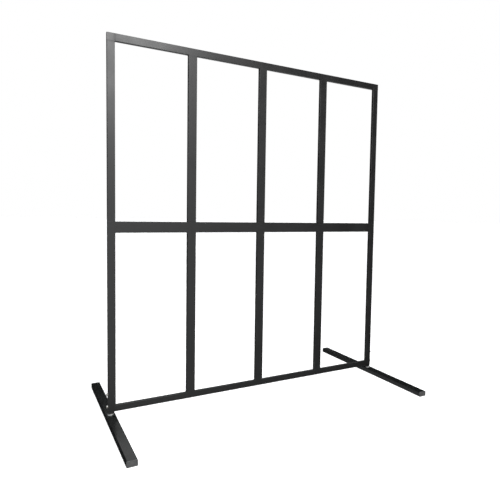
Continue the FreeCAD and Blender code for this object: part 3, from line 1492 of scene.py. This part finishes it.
@dataclass(frozen=True)
class SoftBox:
    """One area lamp and the point that it looks at."""

    name: str
    place: tuple[float, float, float]
    aim: tuple[float, float, float]
    width: float
    height: float
    watts: float

    def build(self) -> None:
        """Hangs the lamp."""
        lamp = bpy.data.lights.new(self.name, "AREA")
        lamp.shape = "RECTANGLE"
        lamp.size, lamp.size_y = self.width, self.height
        lamp.energy = self.watts
        holder = bpy.data.objects.new(self.name, lamp)
        holder.location = self.place
        way = Vector(self.aim) - Vector(self.place)
        holder.rotation_euler = way.to_track_quat("-Z", "Y").to_euler()
        holder.visible_camera = False
        bpy.context.scene.collection.objects.link(holder)


@dataclass(frozen=True)
class Scrim:
    """A far, soft-edged patch of light. Turn is from the front (-Y) towards +X, rise from the horizon."""

    turn: float
    rise: float
    full: float
    fade: float
    strength: float

    @property
    def way(self) -> tuple[float, float, float]:
        """The direction of its middle."""
        turn, rise = math.radians(self.turn), math.radians(self.rise)
        return (math.sin(turn) * math.cos(rise), -math.cos(turn) * math.cos(rise), math.sin(rise))


@dataclass(frozen=True)
class Studio:
    """Pale floor, soft light and the camera."""

    camera_place: tuple[float, float, float] = (-1.3288, -2.6598, 1.1396)
    yaw: float = 0.5292
    pitch: float = -0.0604
    roll: float = 0.0195
    lens: float = 34.38
    sensor: float = 36.0
    shift: tuple[float, float] = (-0.0832, -0.0174)
    floor_size: float = 120.0
    room_tone: float = 0.02
    scrims: tuple[Scrim, ...] = (
        Scrim(-3, 3, 13, 37, 1.40),
        Scrim(0, 90, 10, 40, 2.45),
        Scrim(-138, -30, 6, 17, 0.6),
        Scrim(148, -16, 12, 33, 0.75),
        Scrim(-95, 2, 8, 28, 0.55),
        Scrim(95, -4, 8, 28, 0.80),
    )
    lamps: tuple[SoftBox, ...] = (
        SoftBox("key_softbox", (-0.65, -3.6, 3.6), (-0.4, 0.0, 1.2), 2.2, 2.0, 165.0),
        SoftBox("rear_softbox", (0.0, 3.8, 2.75), (-0.7, -0.4, 0.0), 1.7, 1.7, 6.0),
    )

    def build(self) -> int:
        """Sets up floor, light and camera.

        Returns:
            The number of lights.
        """
        self.lay_floor()
        self.light_room()
        for lamp in self.lamps:
            lamp.build()
        self.place_camera()
        return len(self.lamps) + len(self.scrims)

    def lay_floor(self) -> None:
        """Lays the floor at height 0, kept out of the gloss of the coat."""
        clear_selection()
        bpy.ops.mesh.primitive_plane_add(size=self.floor_size, location=(0, 0, 0))
        floor = bpy.context.object
        floor.name = "floor"
        floor.visible_glossy = False
        floor.data.materials.append(Floor().material())

    def light_room(self) -> None:
        """Makes the room white to look at, and lights it with the scrims alone."""
        scene = bpy.context.scene
        scene.view_settings.view_transform = "Standard"
        world = bpy.data.worlds.new("studio_room")
        scene.world = world
        world.cycles.sampling_method = "NONE"
        world.use_nodes = True
        tree = world.node_tree
        tree.nodes.clear()
        lit = tree.nodes.new("ShaderNodeBackground")
        lit.inputs["Color"].default_value = (0.97, 0.985, 1.0, 1.0)
        place = tree.nodes.new("ShaderNodeTexCoord").outputs["Generated"]
        total = self.add_scrims(tree, place)
        tree.links.new(total, lit.inputs["Strength"])
        seen = tree.nodes.new("ShaderNodeBackground")
        seen.inputs["Color"].default_value = (1.0, 1.0, 1.0, 1.0)
        path = tree.nodes.new("ShaderNodeLightPath")
        mixer = tree.nodes.new("ShaderNodeMixShader")
        tree.links.new(path.outputs["Is Camera Ray"], mixer.inputs["Fac"])
        tree.links.new(lit.outputs["Background"], mixer.inputs[1])
        tree.links.new(seen.outputs["Background"], mixer.inputs[2])
        output = tree.nodes.new("ShaderNodeOutputWorld")
        tree.links.new(mixer.outputs["Shader"], output.inputs["Surface"])

    def add_scrims(self, tree: bpy.types.NodeTree, place: bpy.types.NodeSocket) -> bpy.types.NodeSocket:
        """Adds up the light of all the scrims.

        Args:
            tree: The world's node tree.
            place: The direction looked in.

        Returns:
            The strength of the light from that direction.
        """
        total = None
        for scrim in self.scrims:
            dot = tree.nodes.new("ShaderNodeVectorMath")
            dot.operation = "DOT_PRODUCT"
            dot.inputs[1].default_value = scrim.way
            tree.links.new(place, dot.inputs[0])
            glow = tree.nodes.new("ShaderNodeMapRange")
            glow.interpolation_type = "SMOOTHSTEP"
            glow.inputs["From Min"].default_value = math.cos(math.radians(scrim.fade))
            glow.inputs["From Max"].default_value = math.cos(math.radians(scrim.full))
            glow.inputs["To Max"].default_value = scrim.strength
            tree.links.new(dot.outputs["Value"], glow.inputs["Value"])
            add = tree.nodes.new("ShaderNodeMath")
            add.inputs[1].default_value = self.room_tone
            if total is not None:
                tree.links.new(total, add.inputs[1])
            tree.links.new(glow.outputs["Result"], add.inputs[0])
            total = add.outputs[0]
        return total

    def place_camera(self) -> None:
        """Stands the camera to the left of the wall, at about half its height."""
        data = bpy.data.cameras.new("camera")
        data.lens = self.lens
        data.sensor_width = self.sensor
        data.shift_x, data.shift_y = self.shift
        data.clip_start, data.clip_end = 0.05, 200.0
        camera = bpy.data.objects.new("camera", data)
        heading = Vector((math.sin(self.yaw), math.cos(self.yaw), 0))
        ahead = heading * math.cos(self.pitch) + AXIS_Z * math.sin(self.pitch)
        level = Vector((heading.y, -heading.x, 0))
        above = level.cross(ahead)
        right = level * math.cos(self.roll) + above * math.sin(self.roll)
        up = above * math.cos(self.roll) - level * math.sin(self.roll)
        turn = Matrix((right, up, -ahead)).transposed().to_4x4()
        camera.matrix_world = Matrix.Translation(self.camera_place) @ turn
        bpy.context.scene.collection.objects.link(camera)
        bpy.context.scene.camera = camera


def main() -> None:
    """Builds the wall in the order in which it is put together."""
    logging.basicConfig(level=logging.INFO, format="%(name)s: %(message)s")
    levels = JointLevels.from_frame()
    finishes = Finishes(levels)
    log.info("lower frame: %d pieces", LowerFrame(finishes, levels).build())
    log.info("upper frame: %d pieces", UpperFrame(finishes, levels).build())
    for side in Side:
        log.info("%s foot fixing: %d pieces", side.word, FootFixing(finishes, side).build())
        log.info("%s foot: %d pieces", side.word, Foot(finishes, side).build())
    log.info("studio: %d lamps", Studio().build())


if __name__ == "__main__":
    main()
